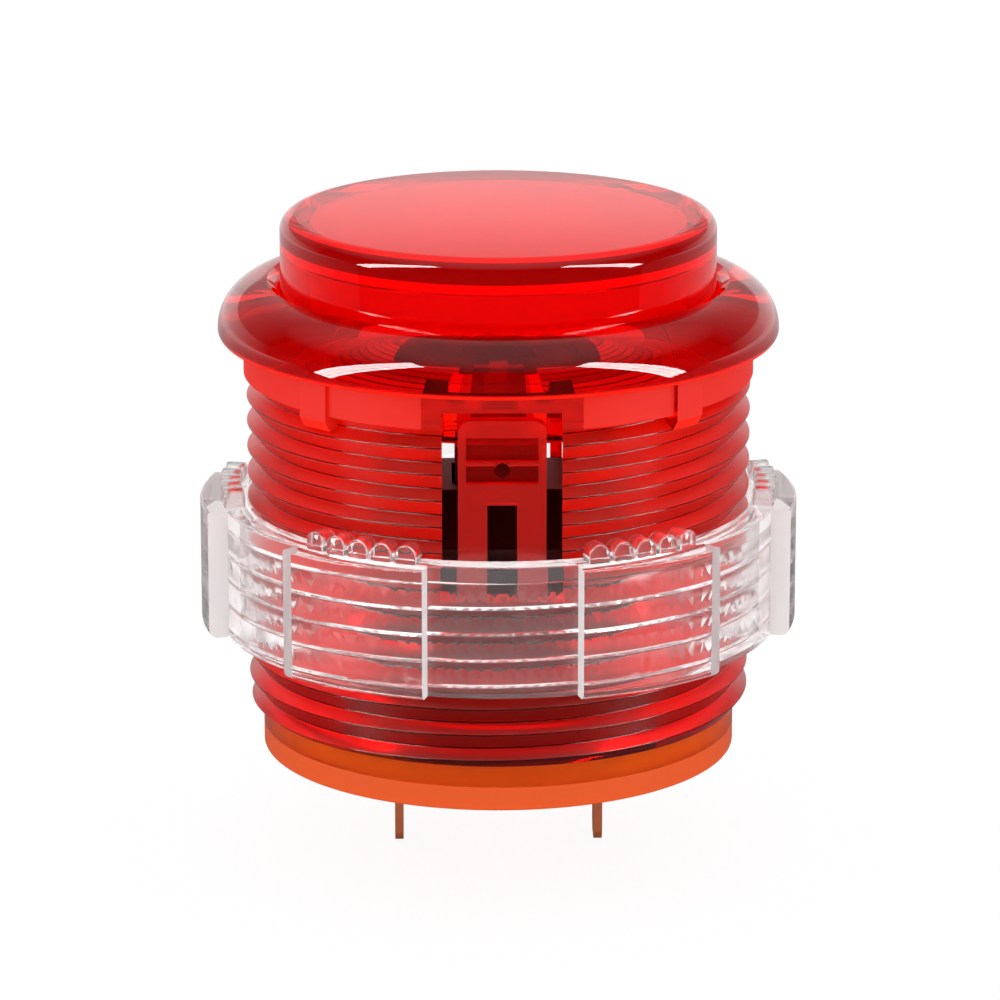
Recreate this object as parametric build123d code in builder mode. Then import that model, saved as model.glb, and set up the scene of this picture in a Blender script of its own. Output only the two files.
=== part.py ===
"""Screw-in arcade push button, 30 mm class, as an assembly of separate pieces.

Units are millimetres. The origin is on the button's axis in the panel plane, under the rim.
+Z points out of the panel towards the player and -Y is the front, where one spring tab shows.
"""

import os
from math import ceil

from build123d import *

# Barrel and rim
rim_diameter = 32.2
rim_height = 3.3
rim_edge_radius = 0.55
mouth_diameter = 26.5
mouth_depth = 0.6
skirt_diameter = 29.3
skirt_height = 2.05
thread_diameter = 29.0
thread_pitch = 1.5
thread_depth = 0.7
thread_upper_flank = 0.48
thread_flat = 0.08
thread_first_crest = 4.2
barrel_length = 21.5
barrel_wall = 1.45
barrel_end_chamfer = 0.3

# Centring ribs under the rim, which take up the play in the panel hole
rib_count = 4
rib_circle_diameter = 29.7
rib_width = 2.05
rib_height = 2.95
rib_taper = 0.6

# Windows in the barrel and the spring tab that stands in each of them
window_width = 6.65
window_top = 1.15
window_bottom = 12.05
tab_width = 4.9
tab_top = 1.6
tab_corner_radius = 0.7
tab_face_distance = 13.95
tab_pocket_top = 2.55
tab_pocket_bottom = 5.2
tab_pocket_depth = 0.5
tab_rail = 0.45
tab_bar_level = 4.05
tab_bar_height = 0.2
tab_pip_level = 4.4
tab_pip_diameter = 0.9
tab_slot_width = 1.65
tab_slot_top = 6.4

# Plunger
plunger_diameter = 25.0
plunger_top = 7.1
plunger_edge_radius = 0.9
plunger_wall = 1.7
plunger_roof = 1.8
plunger_roof_radius = 0.6
plunger_skirt_bottom = 3.2
plunger_flange_height = 1.2
plunger_travel = 3.0
push_rib_thickness = 1.2
push_rib_length = 8.0
push_rib_width = 4.4
push_rib_end = 0.7
pusher_width = 3.2
pusher_end = 6.2

# Mounting nut
nut_top = 9.4
nut_height = 7.5
nut_ring_wall = 1.4
nut_pad_diameter = 34.5
nut_pad_count = 6
nut_pad_angle = 30.0
nut_pad_foot_radius = 0.5
tooth_height = 1.05
tooth_width = 1.25
tooth_pitch_angle = 5.2
teeth_per_pad = 5

# Base cap
base_diameter = 27.4
base_height = 2.8
base_floor = 0.9
base_edge_radius = 0.2
spigot_height = 4.0
spigot_wall = 1.05
snap_ridge = 0.25
snap_ridge_height = 0.8
snap_ridge_rise = 1.8
snap_ridge_count = 4
snap_ridge_angle = 18.0
clip_width = 5.0
clip_thickness = 1.1
clip_height = 5.8
clip_hook = 0.5
clip_hook_height = 0.9
clip_hook_nose = 0.3

# Switch housing
case_width = 16.6
case_depth = 16.4
case_wall = 1.2
case_floor = 1.2
case_corner_radius = 1.5
cover_split = 10.6
cover_top = 8.35
cover_roof = 1.2
cover_deck_width = 12.0
cover_deck_depth = 7.0
lip_height = 1.5
lip_wall = 1.0
latch_width = 3.0
latch_height = 0.6
latch_depth = 0.4
latch_drop = 0.5
pedestal_margin = 0.8

# Push bridge, the black saddle under the plunger's cross
saddle_width = 8.4
saddle_depth = 4.4
saddle_thickness = 1.6
saddle_edge_radius = 0.3
saddle_leg_width = 1.3
saddle_leg_height = 1.05

# Switch slider
stem_width = 5.0
stem_depth = 4.4
slider_flange_width = 8.0
slider_flange_depth = 6.6
slider_flange_height = 1.2
column_depth = 5.4
bridge_window_height = 3.6
bridge_window_drop = 0.75
column_foot = 2.2
spring_pocket_depth = 1.0

# Contacts and terminals
bridge_end_gap = 0.6
bridge_width = 2.6
strip_thickness = 0.5
contact_diameter = 1.8
contact_height = 0.5
contact_crown = 0.15
contact_closing_gap = 0.05
terminal_inset = 2.47
terminal_width = 2.8
terminal_reach = 6.1
terminal_tip_chamfer = 0.6
terminal_hole_diameter = 1.2
terminal_hole_from_tip = 2.7
terminal_shelf = 2.15
terminal_bend_radius = 0.4

# Springs
return_wire = 0.45
return_coil_diameter = 3.6
return_turns = 4.5
contact_wire = 0.28
contact_coil_diameter = 1.9
contact_turns = 4.0

# Clearances, how far a feature is sunk into the wall that it grows from, and how far a cutter stands out
plunger_clearance = 0.2
flange_clearance = 0.15
stop_gap = 0.1
nut_clearance = 0.2
spigot_clearance = 0.1
snap_clearance = 0.1
switch_clearance = 0.1
slide_clearance = 0.2
saddle_clearance = 0.05
blade_clearance = 0.08
shelf_gap = 0.43
spring_seat_gap = 0.05
root_depth = 0.4
overcut = 0.2

# Radii worked out from the sizes above
rim_radius = rim_diameter / 2
mouth_radius = mouth_diameter / 2
skirt_radius = skirt_diameter / 2
thread_radius = thread_diameter / 2
thread_root_radius = thread_radius - thread_depth
rib_radius = rib_circle_diameter / 2
plunger_radius = plunger_diameter / 2
collar_radius = plunger_radius + plunger_clearance
bore_radius = thread_radius - barrel_wall
flange_radius = bore_radius - flange_clearance
base_radius = base_diameter / 2
spigot_radius = bore_radius - spigot_clearance
spigot_inner_radius = spigot_radius - spigot_wall
nut_bore_radius = thread_radius + nut_clearance
nut_ring_radius = nut_bore_radius + nut_ring_wall
nut_pad_radius = nut_pad_diameter / 2
tooth_radius = tooth_width / 2

# Heights along +Z worked out from the sizes above
collar_end_z = plunger_flange_height + stop_gap - plunger_skirt_bottom
roof_underside_z = plunger_top - plunger_roof
saddle_bottom_z = -push_rib_end - saddle_thickness
barrel_end_z = -barrel_length
thread_lower_flank = thread_pitch - thread_upper_flank - 2 * thread_flat
thread_groove_turns = ceil(barrel_length / thread_pitch)
thread_groove_end_z = -thread_first_crest + 2 * thread_pitch - thread_lower_flank - thread_flat
thread_groove_start_z = thread_groove_end_z - thread_groove_turns * thread_pitch
base_bottom_z = barrel_end_z - base_height
base_floor_z = base_bottom_z + base_floor
spigot_top_z = barrel_end_z + spigot_height
ridge_bottom_z = barrel_end_z + snap_ridge_rise
clip_top_z = base_floor_z + clip_height
hook_bottom_z = clip_top_z - clip_hook_height
case_floor_z = base_floor_z + case_floor
cover_ceiling_z = -cover_top - cover_roof
latch_z = -cover_split - latch_drop - latch_height / 2
slider_flange_top_z = cover_ceiling_z - stop_gap
slider_flange_bottom_z = slider_flange_top_z - slider_flange_height
bridge_window_top_z = slider_flange_bottom_z - bridge_window_drop
bridge_seat_z = bridge_window_top_z - bridge_window_height
column_bottom_z = bridge_seat_z - column_foot
spring_seat_z = column_bottom_z + spring_pocket_depth
moving_contact_z = bridge_seat_z - contact_height
fixed_contact_z = moving_contact_z - plunger_travel - contact_closing_gap
shelf_top_z = fixed_contact_z - contact_height
shelf_bottom_z = shelf_top_z - strip_thickness
terminal_tip_z = base_bottom_z - terminal_reach

# Places across the button worked out from the sizes above
case_inner_width = case_width - 2 * case_wall
case_inner_depth = case_depth - 2 * case_wall
lip_width = case_inner_width - 2 * switch_clearance
lip_depth = case_inner_depth - 2 * switch_clearance
clip_x = case_width / 2 + switch_clearance
terminal_x = case_width / 2 - terminal_inset
terminal_outer_x = terminal_x + strip_thickness / 2
terminal_inner_x = terminal_x - strip_thickness / 2
shelf_end_x = terminal_outer_x - terminal_shelf
contact_x = (shelf_end_x + terminal_x) / 2
bridge_length = case_inner_width - 2 * bridge_end_gap
column_width = 2 * (shelf_end_x - shelf_gap)
blade_slot_width = strip_thickness + 2 * blade_clearance
blade_slot_depth = terminal_width + 2 * blade_clearance
bridge_window_depth = bridge_width + 2 * slide_clearance
spring_pocket_radius = (return_coil_diameter + return_wire) / 2 + slide_clearance

# The barrel's front and back views, each with +Z up and its normal pointing outwards
front_view = Plane.XZ
back_view = Plane(origin=(0, 0, 0), x_dir=(-1, 0, 0), z_dir=(0, 1, 0))

# Left and right of the switch, as seen from the front
sides = {"left": -1, "right": 1}


def write(name, piece):
    """Label one finished piece and write it to its own file."""
    piece.label = name
    export_step(piece, f"parts/{name}.step")


def add_sectors(count, angle, start_angle, inner_radius, outer_radius):
    """Add equal ring sectors around the axis to the sketch that is being drawn."""
    with BuildSketch(mode=Mode.PRIVATE) as sectors:
        with BuildLine():
            first = PolarLine((0, 0), 2 * outer_radius, -angle / 2)
            last = PolarLine((0, 0), 2 * outer_radius, angle / 2)
            Line(first @ 1, last @ 1)
        make_face()
        Circle(outer_radius, mode=Mode.INTERSECT)
        Circle(inner_radius, mode=Mode.SUBTRACT)
    with PolarLocations(0, count, start_angle=start_angle):
        add(sectors.sketch)


os.makedirs("parts", exist_ok=True)

# Barrel: threaded tube, rim, collar that guides the plunger, ribs, windows and spring tabs
with BuildPart() as barrel:
    with BuildSketch(Plane.XY.offset(barrel_end_z)):
        Circle(thread_radius)
    extrude(amount=barrel_length)
    # Thread, cut as one helical groove that runs out under the skirt
    with BuildLine():
        Helix(
            pitch=thread_pitch,
            height=thread_groove_turns * thread_pitch,
            radius=thread_root_radius,
            center=(0, 0, thread_groove_start_z),
        )
    groove_widening = 1 + overcut / thread_depth
    with BuildSketch(Plane.XZ):
        with Locations((thread_root_radius, thread_groove_start_z)):
            Polygon(
                (0, -thread_flat / 2),
                (thread_depth + overcut, -thread_flat / 2 - thread_upper_flank * groove_widening),
                (thread_depth + overcut, thread_flat / 2 + thread_lower_flank * groove_widening),
                (0, thread_flat / 2),
                align=None,
            )
    sweep(is_frenet=True, mode=Mode.SUBTRACT)
    with BuildSketch(Plane.XZ):
        with BuildLine():
            Polyline(
                (thread_radius - barrel_end_chamfer, barrel_end_z),
                (thread_radius + barrel_end_chamfer, barrel_end_z),
                (thread_radius + barrel_end_chamfer, barrel_end_z + 2 * barrel_end_chamfer),
                close=True,
            )
        make_face()
    revolve(axis=Axis.Z, mode=Mode.SUBTRACT)
    # Rim and plain skirt
    with BuildSketch(Plane.XZ):
        with BuildLine():
            Polyline(
                (rim_radius - rim_edge_radius, 0),
                (skirt_radius, 0),
                (skirt_radius, -skirt_height),
                (0, -skirt_height),
                (0, rim_height),
                (mouth_radius, rim_height),
            )
            EllipticalCenterArc(
                center=(mouth_radius, rim_edge_radius),
                x_radius=rim_radius - mouth_radius,
                y_radius=rim_height - rim_edge_radius,
                start_angle=0,
                arc_size=90,
            )
            CenterArc(
                center=(rim_radius - rim_edge_radius, rim_edge_radius),
                radius=rim_edge_radius,
                start_angle=270,
                arc_size=90,
            )
        make_face()
    revolve(axis=Axis.Z)
    # Ribs with a tapered foot
    for index in range(rib_count):
        rib_angle = (index + 0.5) * 360 / rib_count
        with BuildSketch(Plane.XZ.rotated((0, 0, rib_angle))):
            with BuildLine():
                Polyline(
                    (thread_root_radius - root_depth, 0),
                    (rib_radius, 0),
                    (rib_radius, rib_taper - rib_height),
                    (thread_radius, -rib_height),
                    (thread_root_radius - root_depth, -rib_height),
                    close=True,
                )
            make_face()
        extrude(amount=rib_width / 2, both=True)
    # Bore, with the collar left standing under the rim
    with BuildSketch(Plane.XZ):
        with BuildLine():
            Polyline(
                (0, barrel_end_z),
                (bore_radius, barrel_end_z),
                (bore_radius, collar_end_z),
                (collar_radius, collar_end_z),
                (collar_radius, rim_height - mouth_depth),
                (mouth_radius, rim_height),
                (0, rim_height),
                close=True,
            )
        make_face()
    revolve(axis=Axis.Z, mode=Mode.SUBTRACT)
    # Groove inside the lower end for the base cap's snap ridges
    with BuildSketch(Plane.XY.offset(ridge_bottom_z - snap_clearance)):
        Circle(spigot_radius + snap_ridge + snap_clearance)
    extrude(amount=snap_ridge_height + 2 * snap_clearance, mode=Mode.SUBTRACT)
    # Windows, with the skirt cut flat beside them to lie flush with the tabs
    with BuildSketch(front_view):
        with Locations((0, -(window_top + window_bottom) / 2)):
            Rectangle(window_width, window_bottom - window_top)
    extrude(amount=rim_radius, both=True, mode=Mode.SUBTRACT)
    for view in (front_view, back_view):
        with BuildSketch(view.offset(tab_face_distance)):
            with Locations((0, -skirt_height / 2)):
                Rectangle(skirt_diameter / 2, skirt_height)
        extrude(amount=skirt_radius - tab_face_distance, mode=Mode.SUBTRACT)
    # One spring tab in each window, rooted in the window's lower edge
    for view in (front_view, back_view):
        tab_face = view.offset(tab_face_distance)
        with BuildSketch(tab_face) as tab_outline:
            with Locations((0, -(tab_top + window_bottom + root_depth) / 2)):
                Rectangle(tab_width, window_bottom + root_depth - tab_top)
            fillet(tab_outline.vertices().group_by(Axis.Y)[-1], radius=tab_corner_radius)
        extrude(amount=bore_radius - tab_face_distance)
        with BuildSketch(tab_face):
            with Locations((0, -(tab_pocket_top + tab_pocket_bottom) / 2)):
                Rectangle(tab_width - 2 * tab_rail, tab_pocket_bottom - tab_pocket_top)
            with Locations((0, -tab_bar_level)):
                Rectangle(tab_width - 2 * tab_rail, tab_bar_height, mode=Mode.SUBTRACT)
            with Locations((0, -tab_pip_level)):
                Circle(tab_pip_diameter / 2, mode=Mode.SUBTRACT)
        extrude(amount=-tab_pocket_depth, mode=Mode.SUBTRACT)
        with BuildSketch(tab_face):
            with Locations((0, -(tab_slot_top + window_bottom) / 2)):
                Rectangle(tab_slot_width, window_bottom - tab_slot_top)
        extrude(amount=bore_radius - tab_face_distance, mode=Mode.SUBTRACT)
write("barrel", barrel.part)

# Plunger: domed-edge cup with a retaining flange, and a cross whose foot pushes the slider
with BuildPart() as plunger:
    with BuildSketch(Plane.XZ):
        with BuildLine():
            Polyline(
                (plunger_radius, plunger_top - plunger_edge_radius),
                (plunger_radius, plunger_flange_height - plunger_skirt_bottom),
                (flange_radius, plunger_flange_height - plunger_skirt_bottom),
                (flange_radius, -plunger_skirt_bottom),
                (plunger_radius - plunger_wall, -plunger_skirt_bottom),
                (plunger_radius - plunger_wall, roof_underside_z - plunger_roof_radius),
            )
            CenterArc(
                center=(
                    plunger_radius - plunger_wall - plunger_roof_radius,
                    roof_underside_z - plunger_roof_radius,
                ),
                radius=plunger_roof_radius,
                start_angle=0,
                arc_size=90,
            )
            Polyline(
                (plunger_radius - plunger_wall - plunger_roof_radius, roof_underside_z),
                (0, roof_underside_z),
                (0, plunger_top),
                (plunger_radius - plunger_edge_radius, plunger_top),
            )
            CenterArc(
                center=(plunger_radius - plunger_edge_radius, plunger_top - plunger_edge_radius),
                radius=plunger_edge_radius,
                start_angle=0,
                arc_size=90,
            )
        make_face()
    revolve(axis=Axis.Z)
    with BuildSketch(Plane.XY.offset(-push_rib_end)):
        Rectangle(push_rib_length, push_rib_thickness)
        Rectangle(push_rib_thickness, push_rib_width)
    extrude(amount=roof_underside_z + push_rib_end + root_depth)
    with BuildSketch(Plane.XY.offset(-pusher_end)):
        Rectangle(pusher_width, push_rib_thickness)
        Rectangle(push_rib_thickness, pusher_width)
    extrude(amount=pusher_end - push_rib_end)
write("plunger", plunger.part)

# Push bridge: saddle with two legs, pressed on the pusher up to the cross
with BuildPart() as push_bridge:
    with BuildSketch(Plane.XY.offset(saddle_bottom_z)):
        Rectangle(saddle_width, saddle_depth)
    extrude(amount=saddle_thickness)
    fillet(push_bridge.edges().group_by(Axis.Z)[-1], radius=saddle_edge_radius)
    with BuildSketch(Plane.XY.offset(saddle_bottom_z)):
        for side in sides.values():
            with Locations((side * (saddle_width - saddle_leg_width) / 2, 0)):
                Rectangle(saddle_leg_width, saddle_depth)
    extrude(amount=-saddle_leg_height)
    with BuildSketch(Plane.XY.offset(saddle_bottom_z)):
        Rectangle(pusher_width + 2 * saddle_clearance, push_rib_thickness + 2 * saddle_clearance)
        Rectangle(push_rib_thickness + 2 * saddle_clearance, pusher_width + 2 * saddle_clearance)
    extrude(amount=saddle_thickness, mode=Mode.SUBTRACT)
write("push_bridge", push_bridge.part)

# Mounting nut: ring with six grip pads, and arched teeth that bite the panel's back
with BuildPart() as mounting_nut:
    with BuildSketch(Plane.XY.offset(-nut_top)):
        Circle(nut_ring_radius)
        add_sectors(nut_pad_count, nut_pad_angle, 0, nut_bore_radius, nut_pad_radius)
        Circle(nut_bore_radius, mode=Mode.SUBTRACT)
    extrude(amount=-nut_height)
    pad_feet = mounting_nut.edges().group_by(Axis.Z)[0].filter_by(GeomType.CIRCLE)
    fillet(pad_feet.filter_by(lambda edge: edge.radius > nut_ring_radius), radius=nut_pad_foot_radius)
    tooth_planes = []
    for pad in range(nut_pad_count):
        for tooth in range(teeth_per_pad):
            tooth_angle = pad * 360 / nut_pad_count + (tooth - (teeth_per_pad - 1) / 2) * tooth_pitch_angle
            outwards = Vector(1, 0, 0).rotate(Axis.Z, tooth_angle)
            tooth_planes.append(
                Plane(
                    origin=outwards * (nut_bore_radius + nut_clearance) - Vector(0, 0, nut_top),
                    x_dir=Vector(0, 1, 0).rotate(Axis.Z, tooth_angle),
                    z_dir=outwards,
                )
            )
    with BuildSketch(*tooth_planes):
        with BuildLine():
            Polyline(
                (-tooth_radius, tooth_height - tooth_radius),
                (-tooth_radius, -root_depth),
                (tooth_radius, -root_depth),
                (tooth_radius, tooth_height - tooth_radius),
            )
            CenterArc((0, tooth_height - tooth_radius), tooth_radius, start_angle=0, arc_size=180)
        make_face()
    extrude(amount=nut_ring_radius - nut_bore_radius - nut_clearance)
write("mounting_nut", mounting_nut.part)

# Base cap: cup that closes the barrel, with snap ridges and two clips for the switch
with BuildPart() as base_cap:
    with BuildSketch(Plane.XZ):
        with BuildLine():
            Polyline(
                (0, base_bottom_z),
                (base_radius, base_bottom_z),
                (base_radius, barrel_end_z),
                (spigot_radius, barrel_end_z),
                (spigot_radius, spigot_top_z),
                (spigot_inner_radius, spigot_top_z),
                (spigot_inner_radius, base_floor_z),
                (0, base_floor_z),
                close=True,
            )
        make_face()
    revolve(axis=Axis.Z)
    fillet(base_cap.edges().group_by(Axis.Z)[0], radius=base_edge_radius)
    with BuildSketch(Plane.XY.offset(ridge_bottom_z)):
        add_sectors(
            snap_ridge_count,
            snap_ridge_angle,
            180 / snap_ridge_count,
            spigot_radius - root_depth,
            spigot_radius + snap_ridge,
        )
    extrude(amount=snap_ridge_height)
    for side in sides.values():
        with BuildSketch(Plane.XZ):
            with BuildLine():
                Polyline(
                    (side * clip_x, base_floor_z - root_depth),
                    (side * (clip_x + clip_thickness), base_floor_z - root_depth),
                    (side * (clip_x + clip_thickness), clip_top_z),
                    (side * clip_x, clip_top_z),
                    (side * (clip_x - clip_hook), hook_bottom_z + clip_hook_nose),
                    (side * (clip_x - clip_hook), hook_bottom_z),
                    (side * clip_x, hook_bottom_z),
                    close=True,
                )
            make_face()
        extrude(amount=clip_width / 2, both=True)
    with BuildSketch(Plane.XY.offset(base_bottom_z)):
        with Locations((-terminal_x, 0), (terminal_x, 0)):
            Rectangle(blade_slot_width, blade_slot_depth)
    extrude(amount=base_floor, mode=Mode.SUBTRACT)
write("base_cap", base_cap.part)

# Switch case: open box with two pedestals that carry the terminals
with BuildPart() as switch_case:
    with BuildSketch(Plane.XY.offset(base_floor_z)):
        RectangleRounded(case_width, case_depth, case_corner_radius)
    extrude(amount=-cover_split - base_floor_z)
    with BuildSketch(Plane.XY.offset(case_floor_z)):
        Rectangle(case_inner_width, case_inner_depth)
    extrude(amount=-cover_split - case_floor_z, mode=Mode.SUBTRACT)
    with BuildSketch(Plane.XY.offset(case_floor_z - root_depth)):
        for side in sides.values():
            pedestal_length = case_inner_width / 2 + root_depth - shelf_end_x
            with Locations((side * (shelf_end_x + pedestal_length / 2), 0)):
                Rectangle(pedestal_length, terminal_width + 2 * pedestal_margin)
    extrude(amount=shelf_bottom_z - case_floor_z + root_depth)
    with BuildSketch(Plane.XY.offset(base_floor_z)):
        with Locations((-terminal_x, 0), (terminal_x, 0)):
            Rectangle(blade_slot_width, blade_slot_depth)
    extrude(amount=shelf_bottom_z - base_floor_z, mode=Mode.SUBTRACT)
    # Recesses in the side walls for the base cap's clips
    with BuildSketch(Plane.XY.offset(hook_bottom_z - switch_clearance)):
        with Locations((-case_width / 2, 0), (case_width / 2, 0)):
            Rectangle(2 * clip_hook, clip_width + 2 * switch_clearance)
    extrude(amount=clip_hook_height + 2 * switch_clearance, mode=Mode.SUBTRACT)
    # Slots in the front and back walls for the cover's latches
    with BuildSketch(Plane.XZ):
        with Locations((0, latch_z)):
            Rectangle(latch_width + 2 * switch_clearance, latch_height + 2 * switch_clearance)
    extrude(amount=case_depth, both=True, mode=Mode.SUBTRACT)
write("switch_case", switch_case.part)

# Switch cover: sloping lid with a lip inside the case and an opening for the stem
with BuildPart() as switch_cover:
    with BuildSketch(Plane.XY.offset(-cover_split)):
        RectangleRounded(case_width, case_depth, case_corner_radius)
    with BuildSketch(Plane.XY.offset(-cover_top)):
        RectangleRounded(cover_deck_width, cover_deck_depth, case_corner_radius)
    loft()
    with BuildSketch(Plane.XY.offset(-cover_split)):
        Rectangle(lip_width, lip_depth)
    extrude(amount=-lip_height)
    with BuildSketch(Plane.XZ):
        with Locations((0, latch_z)):
            Rectangle(latch_width, latch_height)
    extrude(amount=lip_depth / 2 + latch_depth, both=True)
    with BuildSketch(Plane.XY.offset(-cover_split - lip_height)):
        Rectangle(lip_width - 2 * lip_wall, lip_depth - 2 * lip_wall)
    extrude(amount=lip_height, mode=Mode.SUBTRACT)
    with BuildSketch(Plane.XY.offset(-cover_split)):
        Rectangle(lip_width - 2 * lip_wall, lip_depth - 2 * lip_wall)
    with BuildSketch(Plane.XY.offset(cover_ceiling_z)):
        Rectangle(slider_flange_width + 2 * slide_clearance, slider_flange_depth + 2 * slide_clearance)
    loft(mode=Mode.SUBTRACT)
    with BuildSketch(Plane.XY.offset(cover_ceiling_z)):
        Rectangle(stem_width + 2 * slide_clearance, stem_depth + 2 * slide_clearance)
    extrude(amount=cover_roof, mode=Mode.SUBTRACT)
write("switch_cover", switch_cover.part)

# Switch slider: stem, stop flange and the column that carries the bridge contact
with BuildPart() as switch_slider:
    with BuildSketch(Plane.XY.offset(-pusher_end)):
        Rectangle(stem_width, stem_depth)
    extrude(amount=slider_flange_top_z + pusher_end)
    with BuildSketch(Plane.XY.offset(slider_flange_top_z)):
        Rectangle(slider_flange_width, slider_flange_depth)
    extrude(amount=-slider_flange_height)
    with BuildSketch(Plane.XY.offset(slider_flange_bottom_z)):
        Rectangle(column_width, column_depth)
    extrude(amount=column_bottom_z - slider_flange_bottom_z)
    with BuildSketch(Plane.YZ):
        with Locations((0, (bridge_window_top_z + bridge_seat_z) / 2)):
            Rectangle(bridge_window_depth, bridge_window_height)
    extrude(amount=column_width, both=True, mode=Mode.SUBTRACT)
    with BuildSketch(Plane.XY.offset(column_bottom_z)):
        Circle(spring_pocket_radius)
    extrude(amount=spring_pocket_depth, mode=Mode.SUBTRACT)
write("switch_slider", switch_slider.part)

# Bridge contact: strip that rides in the slider's window, with its two contact points
with BuildPart() as bridge_contact:
    with BuildSketch(Plane.XY.offset(bridge_seat_z)):
        SlotOverall(bridge_length, bridge_width)
    extrude(amount=strip_thickness)
write("bridge_contact", bridge_contact.part)

for name, side in sides.items():
    with BuildPart() as bridge_point:
        with BuildSketch(Plane.XY.offset(moving_contact_z)):
            with Locations((side * contact_x, 0)):
                Circle(contact_diameter / 2)
        extrude(amount=contact_height)
        fillet(bridge_point.edges().group_by(Axis.Z)[0], radius=contact_crown)
    write(f"{name}_bridge_point", bridge_point.part)

    with BuildPart() as fixed_contact:
        with BuildSketch(Plane.XY.offset(shelf_top_z)):
            with Locations((side * contact_x, 0)):
                Circle(contact_diameter / 2)
        extrude(amount=contact_height)
        fillet(fixed_contact.edges().group_by(Axis.Z)[-1], radius=contact_crown)
    write(f"{name}_fixed_contact", fixed_contact.part)

    # Terminal: stamped blade, bent inwards over its pedestal to carry the fixed contact
    with BuildPart() as terminal:
        with BuildSketch(Plane.XZ):
            with BuildLine():
                Polyline(
                    (side * shelf_end_x, shelf_top_z),
                    (side * terminal_outer_x, shelf_top_z),
                    (side * terminal_outer_x, terminal_tip_z),
                    (side * terminal_inner_x, terminal_tip_z),
                    (side * terminal_inner_x, shelf_bottom_z),
                    (side * shelf_end_x, shelf_bottom_z),
                    close=True,
                )
            make_face()
        extrude(amount=terminal_width / 2, both=True)
        bend = terminal.edges().filter_by(Axis.Y).group_by(Axis.Z)[-1].sort_by(Axis.X)
        fillet(bend[-1] if side > 0 else bend[0], radius=terminal_bend_radius)
        tip = terminal.edges().filter_by(Axis.X).group_by(Axis.Z)[0]
        chamfer(tip, length=terminal_tip_chamfer)
        with BuildSketch(Plane.YZ):
            with Locations((0, terminal_tip_z + terminal_hole_from_tip)):
                Circle(terminal_hole_diameter / 2)
        extrude(amount=side * case_width, mode=Mode.SUBTRACT)
    write(f"{name}_terminal", terminal.part)


def coil_spring(bottom_z, top_z, coil_diameter, wire, turns):
    """Make an open coil spring that stands between two heights on the axis."""
    height = top_z - bottom_z - wire
    with BuildPart() as spring:
        with BuildLine() as path:
            Helix(
                pitch=height / turns,
                height=height,
                radius=coil_diameter / 2,
                center=(0, 0, bottom_z + wire / 2),
            )
        with BuildSketch(Plane(origin=path.line @ 0, z_dir=path.line % 0)):
            Circle(wire / 2)
        sweep(is_frenet=True)
    return spring.part


write(
    "return_spring",
    coil_spring(
        case_floor_z + spring_seat_gap,
        spring_seat_z - spring_seat_gap,
        return_coil_diameter,
        return_wire,
        return_turns,
    ),
)
write(
    "contact_spring",
    coil_spring(
        bridge_seat_z + strip_thickness + spring_seat_gap,
        bridge_window_top_z - spring_seat_gap,
        contact_coil_diameter,
        contact_wire,
        contact_turns,
    ),
)
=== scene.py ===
"""Looks of a screw-in arcade push button: translucent moulded pieces, materials, light and camera.

The pieces share the CAD frame: metres, the origin on the axis in the panel plane, +Z out of the panel
and -Y the front.
"""

import math

import bmesh
import bpy
from bpy.props import FloatProperty, FloatVectorProperty, IntProperty, PointerProperty
from mathutils import Matrix, Vector


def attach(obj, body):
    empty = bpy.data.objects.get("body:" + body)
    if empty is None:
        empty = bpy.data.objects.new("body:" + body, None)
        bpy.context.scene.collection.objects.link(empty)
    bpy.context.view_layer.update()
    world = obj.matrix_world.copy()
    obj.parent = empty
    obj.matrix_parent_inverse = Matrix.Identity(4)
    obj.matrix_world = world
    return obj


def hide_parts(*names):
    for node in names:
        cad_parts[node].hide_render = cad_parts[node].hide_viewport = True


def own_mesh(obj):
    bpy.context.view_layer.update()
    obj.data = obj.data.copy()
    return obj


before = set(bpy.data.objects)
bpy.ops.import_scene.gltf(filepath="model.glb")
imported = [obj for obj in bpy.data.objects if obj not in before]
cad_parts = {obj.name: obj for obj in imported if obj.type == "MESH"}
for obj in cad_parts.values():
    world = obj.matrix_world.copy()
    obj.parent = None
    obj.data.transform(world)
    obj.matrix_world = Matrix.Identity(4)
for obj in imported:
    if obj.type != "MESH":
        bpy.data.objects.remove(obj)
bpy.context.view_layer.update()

bl_info = {
    "name": "Arcade Push Button",
    "version": (1, 0, 0),
    "blender": (4, 5, 0),
    "location": "View3D > Sidebar > Push Button",
    "description": "Builds a translucent screw-in arcade push button and its studio",
    "category": "Add Mesh",
}

MM = 0.001
TURN = 2 * math.pi
# Points that are closer than this are one
MERGE = 0.001 * MM
# Slack for telling a face by its place
HAIR = 0.01 * MM
# Reach of a shape into the one it is joined to, flat against flat and flat against round
LAP = 0.1 * MM
DEEP_LAP = 0.4 * MM
# Reach of a cut beyond what it cuts
CLEAR = 1.0 * MM
# Edges that bend by more than this stay sharp
SHARP = math.radians(28)
# Share of a face's normal along a direction: over FACING it faces there, over LEANING it leans there,
# and a face with less than UPRIGHT along the axis stands upright
FACING = 0.9
LEANING = 0.5
UPRIGHT = 0.1


def linear(hex_code):
    """Linear colour of an sRGB hex code."""
    parts = [int(hex_code[i : i + 2], 16) / 255 for i in (1, 3, 5)]
    return [p / 12.92 if p <= 0.04045 else ((p + 0.055) / 1.055) ** 2.4 for p in parts]


def length(label, description, millimetres):
    """Length property with its default given in millimetres."""
    return FloatProperty(
        name=label,
        description=description,
        default=millimetres * MM,
        precision=5,
        unit="LENGTH",
        subtype="DISTANCE",
    )


def colour(label, description, hex_code):
    """Colour property with its default given as an sRGB hex code."""
    return FloatVectorProperty(
        name=label,
        description=description,
        default=linear(hex_code),
        size=3,
        min=0.0,
        max=1.0,
        subtype="COLOR",
    )


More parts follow.
